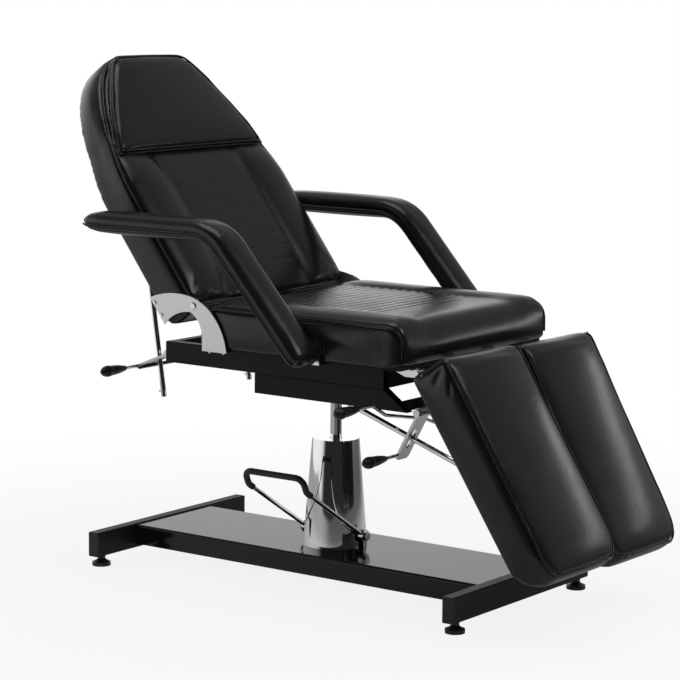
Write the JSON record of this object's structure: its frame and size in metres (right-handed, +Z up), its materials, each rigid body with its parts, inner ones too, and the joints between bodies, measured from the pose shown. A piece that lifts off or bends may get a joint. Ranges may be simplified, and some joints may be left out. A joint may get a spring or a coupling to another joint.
{
  "type": "pedicure chair",
  "caption": "Black padded pedicure chair on a hydraulic column, with a reclining back, wedge pillow, separate swinging leg rests and arms, rod locks and a foot pump.",
  "frame": {"origin": "the floor under the middle of the chair's bounding box", "axes": "+Z up, +X to the sitter's left, +Y towards the back of the chair, so the sitter faces -Y"},
  "size_m": [0.82, 1.4846, 1.2271],
  "materials": {
    "leatherette": "satin",
    "frame_black": "satin",
    "chrome": "polished",
    "satin_silver": "satin",
    "zinc": "satin",
    "black_plastic": "satin",
    "rubber": "matte",
    "plywood": "matte"
  },
  "bodies": {
    "base": {"base_front_bar": "frame_black", "base_rear_bar": "frame_black", "bar_end_caps": "black_plastic", "base_deck": "frame_black", "levelling_feet": "black_plastic", "pump_body": "frame_black", "pump_cover": "chrome", "pump_bolts": "zinc"},
    "pedal": {"pedal_loop": "chrome", "pedal_sleeve": "rubber", "pedal_shaft": "zinc", "pedal_bolts": "zinc"},
    "lift_piston": {"piston": "chrome"},
    "seat_frame": {"seat_rails": "frame_black", "lower_tubes": "frame_black", "cross_tubes": "frame_black", "frame_spacers": "frame_black", "swivel_hub": "frame_black", "leg_lock_bar": "frame_black", "seat_bearers": "frame_black", "seat_board": "plywood", "seat_pad": "leatherette", "hinge_lower_brackets": "satin_silver", "hinge_pins": "zinc", "seat_bracket_screws": "zinc", "leg_hinge_clevises": "zinc", "lock_lugs": "frame_black", "lock_pins": "zinc", "arm_brackets": "zinc"},
    "back": {"back_board": "plywood", "back_pad": "leatherette", "pillow": "leatherette", "hinge_upper_brackets": "satin_silver", "back_bracket_screws": "zinc", "back_rod_clevises": "zinc"},
    "back_rods": {"back_rods": "chrome"},
    "back_lock": {"back_lock_plates": "satin_silver", "back_lock_tie_bar": "frame_black", "back_lock_handle": "chrome", "back_lock_grip": "black_plastic"},
    "left_leg": {"left_leg_board": "plywood", "left_leg_pad": "leatherette", "left_leg_straps": "zinc", "left_leg_rod_clevis": "zinc"},
    "left_leg_rod": {"left_leg_rod": "chrome"},
    "left_leg_lock": {"left_leg_lock_plate": "satin_silver", "left_leg_lock_handle": "chrome", "left_leg_lock_grip": "black_plastic"},
    "left_arm": {"left_arm_core": "frame_black", "left_arm_pad": "leatherette"},
    "right_leg": {"right_leg_board": "plywood", "right_leg_pad": "leatherette", "right_leg_straps": "zinc", "right_leg_rod_clevis": "zinc"},
    "right_leg_rod": {"right_leg_rod": "chrome"},
    "right_leg_lock": {"right_leg_lock_plate": "satin_silver", "right_leg_lock_handle": "chrome", "right_leg_lock_grip": "black_plastic"},
    "right_arm": {"right_arm_core": "frame_black", "right_arm_pad": "leatherette"}
  },
  "joints": [
    {"name": "lift", "type": "slide", "parent": "base", "child": "lift_piston", "axis": [0, 0, 1], "range_m": [-0.065, 0.065]},
    {"name": "swivel", "type": "hinge", "parent": "lift_piston", "child": "seat_frame", "pos_m": [0, 0.053, 0.48], "axis": [0, 0, 1], "continuous": true},
    {"name": "pump_pedal", "type": "hinge", "parent": "base", "child": "pedal", "pos_m": [0, 0.053, 0.111], "axis": [0, 1, 0], "range_deg": [-24, 0], "stiffness_Nm_per_rad": 20, "springref_deg": 5.16},
    {"name": "back_recline", "type": "hinge", "parent": "seat_frame", "child": "back", "pos_m": [0, 0.236, 0.666], "axis": [1, 0, 0], "range_deg": [-52.8, 15]},
    {"name": "back_rod_swing", "type": "hinge", "parent": "back", "child": "back_rods", "pos_m": [0, 0.50645, 0.81224], "axis": [1, 0, 0], "range_deg": [-4.5, 14.5]},
    {"name": "back_lock_lever", "type": "hinge", "parent": "seat_frame", "child": "back_lock", "pos_m": [0, 0.413, 0.525], "axis": [1, 0, 0], "range_deg": [0, 8], "stiffness_Nm_per_rad": 4, "springref_deg": -8.59},
    {"name": "left_leg_swing", "type": "hinge", "parent": "seat_frame", "child": "left_leg", "pos_m": [0, -0.347, 0.56], "axis": [1, 0, 0], "range_deg": [-59.8, 2]},
    {"name": "left_leg_rod_swing", "type": "hinge", "parent": "left_leg", "child": "left_leg_rod", "pos_m": [0, -0.47259, 0.31838], "axis": [1, 0, 0], "range_deg": [-1.5, 13.5]},
    {"name": "left_leg_lock_lever", "type": "hinge", "parent": "seat_frame", "child": "left_leg_lock", "pos_m": [0, -0.311, 0.461], "axis": [1, 0, 0], "range_deg": [-6, 0], "stiffness_Nm_per_rad": 4, "springref_deg": 11.46},
    {"name": "left_arm_swing", "type": "hinge", "parent": "seat_frame", "child": "left_arm", "pos_m": [0, -0.10917, 0.60082], "axis": [1, 0, 0], "range_deg": [0, 90]},
    {"name": "right_leg_swing", "type": "hinge", "parent": "seat_frame", "child": "right_leg", "pos_m": [0, -0.347, 0.56], "axis": [1, 0, 0], "range_deg": [-56.5, 5]},
    {"name": "right_leg_rod_swing", "type": "hinge", "parent": "right_leg", "child": "right_leg_rod", "pos_m": [0, -0.48629, 0.32601], "axis": [1, 0, 0], "range_deg": [-1.5, 13.5]},
    {"name": "right_leg_lock_lever", "type": "hinge", "parent": "seat_frame", "child": "right_leg_lock", "pos_m": [0, -0.311, 0.461], "axis": [1, 0, 0], "range_deg": [-6, 0], "stiffness_Nm_per_rad": 4, "springref_deg": 11.46},
    {"name": "right_arm_swing", "type": "hinge", "parent": "seat_frame", "child": "right_arm", "pos_m": [0, -0.10917, 0.60082], "axis": [1, 0, 0], "range_deg": [0, 90]}
  ],
  "couplings": [
    {"joint": "back_rod_swing", "follows": "back_recline", "ratio": -0.265},
    {"joint": "left_leg_rod_swing", "follows": "left_leg_swing", "ratio": -0.218},
    {"joint": "right_leg_rod_swing", "follows": "right_leg_swing", "ratio": -0.231}
  ]
}
